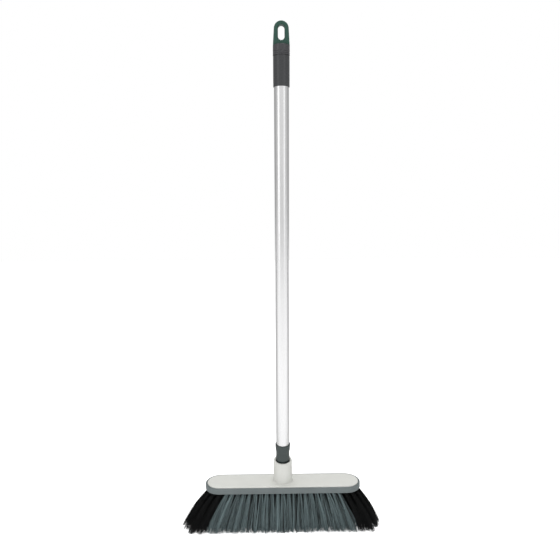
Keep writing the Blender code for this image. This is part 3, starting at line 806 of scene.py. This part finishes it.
def make_tufts(name, row, roots, slot, seed):
    """A row's tufts, each a set of small bundles. Some bundles are dark in their own colour; the inner rows are
    painted darker as shade, most of all at their roots.
    """
    rng = random.Random(seed)
    bm = bmesh.new()
    uv = bm.loops.layers.uv.new("filament")
    root_y = (row - (ROWS - 1) / 2) * ROW_PITCH
    inside = row not in (0, ROWS - 1)
    # Inner rows take a darker tone: painted shade between the outer rows.
    row_tone = INNER_ROW_TONE_WITH_PAINTED_SHADE if inside else OUTER_ROW_TONE
    for root_x in roots:
        tuft_lift = abs(rng.gauss(0, TUFT_LIFT))
        tuft_tone = row_tone + rng.gauss(0, TUFT_TONE_SPREAD)
        spread_x = (tip_place(root_x + TUFT_PITCH / 2) - tip_place(root_x - TUFT_PITCH / 2)) / 2
        for _ in range(BUNDLES):
            angle = rng.uniform(0, 2 * math.pi)
            out = math.sqrt(rng.random())
            lift = tuft_lift + abs(rng.gauss(0, TIP_LIFT))
            bundle_tone = DARK_TONE
            if rng.random() >= DARK_SHARE:
                bundle_tone = tuft_tone + rng.gauss(0, BUNDLE_TONE_SPREAD)
            for _ in range(STRANDS):
                away_x = out * math.cos(angle) + rng.gauss(0, BUNDLE_SCATTER)
                away_y = out * math.sin(angle) + rng.gauss(0, BUNDLE_SCATTER)
                points = filament_points(rng, root_x, root_y, spread_x, away_x, away_y, lift)
                tone = min(0.98, max(0.02, bundle_tone + rng.gauss(0, STRAND_TONE_SPREAD)))
                # The inner rows' roots get painted shade.
                painted_root_shade_tone = ROOT_PAINTED_SHADE_TONE if inside else tone
                add_filament(bm, uv, points, FILAMENT_RADIUS, tone, painted_root_shade_tone)
    mesh = bpy.data.meshes.new(name)
    bm.to_mesh(mesh)
    bm.free()
    mesh.materials.append(MATERIALS[slot])
    piece = bpy.data.objects.new(name, mesh)
    bpy.context.scene.collection.objects.link(piece)
    return piece


def tuft_roots(row):
    """The X places of a row's tufts. Every second row is shifted by half a pitch."""
    shift = 0.5 if row % 2 else 0
    steps = range(int(2 * (GREY_REACH - shift)) + 1)
    grey = [TUFT_PITCH * (step - GREY_REACH + shift) for step in steps]
    right = [grey[-1] + BLACK_PITCH * (step + 1) for step in range(BLACK_COUNTS[row])]
    left = [-x for x in reversed(right)]
    return {"black_left": left, "grey": grey, "black_right": right}


def make_bristles():
    for row in range(ROWS):
        for order, (kind, roots) in enumerate(tuft_roots(row).items()):
            slot = "grey_bristle" if kind == "grey" else "black_bristle"
            label = str(row + 1) + "_" + kind
            piece = make_tufts("bristles_" + label, row, roots, slot, 10 * row + order)
            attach(piece, "head")
            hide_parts("tufts_" + label)


make_bristles()

# ---------------------------------------------------------------- stage

CAMERA_PLACE = (-0.01523, -0.8758, 0.52661)
CAMERA_TURN = (-3.360, 0.79, -0.36)
CAMERA_LENS = 29.75
CAMERA_SENSOR = 36
STUDIO_FRONT = 0.97
STUDIO_BACK = 0.48
STUDIO_FADE_END = 0.4
FLOOR_REACH = 30.0
FLOOR_GLOW = ((-3.0, 0.3), (-0.25, 0.6), (0.0, 0.4), (0.15, 0.0), (2.0, 0.25), (4.0, 0.5))


def make_floor():
    """White to the camera. To other rays it glows as FLOOR_GLOW's pairs of Y and strength say."""
    bm = bmesh.new()
    signs = ((-1, -1), (1, -1), (1, 1), (-1, 1))
    corners = [(FLOOR_REACH * x, FLOOR_REACH * y, 0) for x, y in signs]
    bm.faces.new([bm.verts.new(corner) for corner in corners])
    mesh = bpy.data.meshes.new("floor")
    bm.to_mesh(mesh)
    bm.free()
    floor = bpy.data.objects.new("floor", mesh)
    bpy.context.scene.collection.objects.link(floor)
    nodes = Nodes("floor_paint")
    nodes.set(Base_Color=(0.6, 0.6, 0.6, 1), Roughness=0.9, Specular_IOR_Level=0.1)
    parts = nodes.add("ShaderNodeSeparateXYZ")
    nodes.link(nodes.place(), parts.inputs["Vector"])
    front, back = FLOOR_GLOW[0][0], FLOOR_GLOW[-1][0]
    depth = nodes.spread(parts.outputs["Y"], 0.0, 1.0, front, back)
    stops = [((place - front) / (back - front), (glow, glow, glow)) for place, glow in FLOOR_GLOW]
    glow = nodes.colors(depth, *stops)
    path = nodes.add("ShaderNodeLightPath")
    chosen = nodes.add("ShaderNodeMix", data_type="RGBA")
    chosen.inputs["B"].default_value = (1, 1, 1, 1)
    nodes.link(path.outputs["Is Camera Ray"], chosen.inputs["Factor"])
    nodes.link(glow, chosen.inputs["A"])
    nodes.link(chosen.outputs["Result"], nodes.shader.inputs["Emission Color"])
    nodes.set(Emission_Strength=1.0)
    mesh.materials.append(nodes.material)


def make_world():
    """White to the camera; to the object, a studio that is brighter in front than behind."""
    world = bpy.data.worlds.new("studio")
    bpy.context.scene.world = world
    world.use_nodes = True
    tree = world.node_tree
    tree.nodes.clear()
    output = tree.nodes.new("ShaderNodeOutputWorld")
    mixer = tree.nodes.new("ShaderNodeMixShader")
    path = tree.nodes.new("ShaderNodeLightPath")
    seen = tree.nodes.new("ShaderNodeBackground")
    lit = tree.nodes.new("ShaderNodeBackground")
    place = tree.nodes.new("ShaderNodeTexCoord")
    parts = tree.nodes.new("ShaderNodeSeparateXYZ")
    depth = tree.nodes.new("ShaderNodeMapRange")
    depth.inputs["From Min"].default_value = -1.0
    depth.inputs["From Max"].default_value = STUDIO_FADE_END
    depth.inputs["To Min"].default_value = STUDIO_FRONT
    depth.inputs["To Max"].default_value = STUDIO_BACK
    seen.inputs["Color"].default_value = (1, 1, 1, 1)
    tree.links.new(place.outputs["Generated"], parts.inputs["Vector"])
    tree.links.new(parts.outputs["Y"], depth.inputs["Value"])
    tree.links.new(depth.outputs["Result"], lit.inputs["Strength"])
    tree.links.new(path.outputs["Is Camera Ray"], mixer.inputs["Fac"])
    tree.links.new(lit.outputs["Background"], mixer.inputs[1])
    tree.links.new(seen.outputs["Background"], mixer.inputs[2])
    tree.links.new(mixer.outputs["Shader"], output.inputs["Surface"])


def area_light(name, place, target, size, power):
    """A rectangular light that faces target. Its size is in metres and its power in watts."""
    data = bpy.data.lights.new(name, "AREA")
    data.shape = "RECTANGLE"
    data.size, data.size_y = size
    data.energy = power
    light = bpy.data.objects.new(name, data)
    light.location = place
    direction = Vector(target) - Vector(place)
    light.rotation_euler = direction.to_track_quat("-Z", "Y").to_euler()
    bpy.context.scene.collection.objects.link(light)


def make_lights():
    """Two tall soft lights in front, left and right, and a wide one overhead."""
    middle = (0, 0, 0.4)
    area_light("key", (-1.9, -1.8, 0.9), middle, (0.95, 2.2), 5.6)
    area_light("fill", (1.7, -2.0, 0.9), middle, (0.8, 2.2), 3.0)
    area_light("top", (0, 0.2, 2.6), (0, 0, 0), (1.5, 1.5), 30)


def make_camera():
    """The camera stands at CAMERA_PLACE. CAMERA_TURN is its pitch, yaw and roll in degrees."""
    pitch, yaw, roll = (math.radians(angle) for angle in CAMERA_TURN)
    flat = math.cos(pitch)
    forward = Vector((math.sin(yaw) * flat, math.cos(yaw) * flat, math.sin(pitch)))
    level = Vector((math.cos(yaw), -math.sin(yaw), 0))
    upright = level.cross(forward)
    right = level * math.cos(roll) + upright * math.sin(roll)
    up = upright * math.cos(roll) - level * math.sin(roll)
    data = bpy.data.cameras.new("camera")
    data.lens = CAMERA_LENS
    data.sensor_width = CAMERA_SENSOR
    camera = bpy.data.objects.new("camera", data)
    rotation = Matrix((right, up, -forward)).transposed().to_4x4()
    camera.matrix_world = Matrix.Translation(CAMERA_PLACE) @ rotation
    bpy.context.scene.collection.objects.link(camera)
    bpy.context.scene.camera = camera


make_floor()
make_world()
make_lights()
make_camera()
bpy.context.scene.view_settings.view_transform = "Standard"
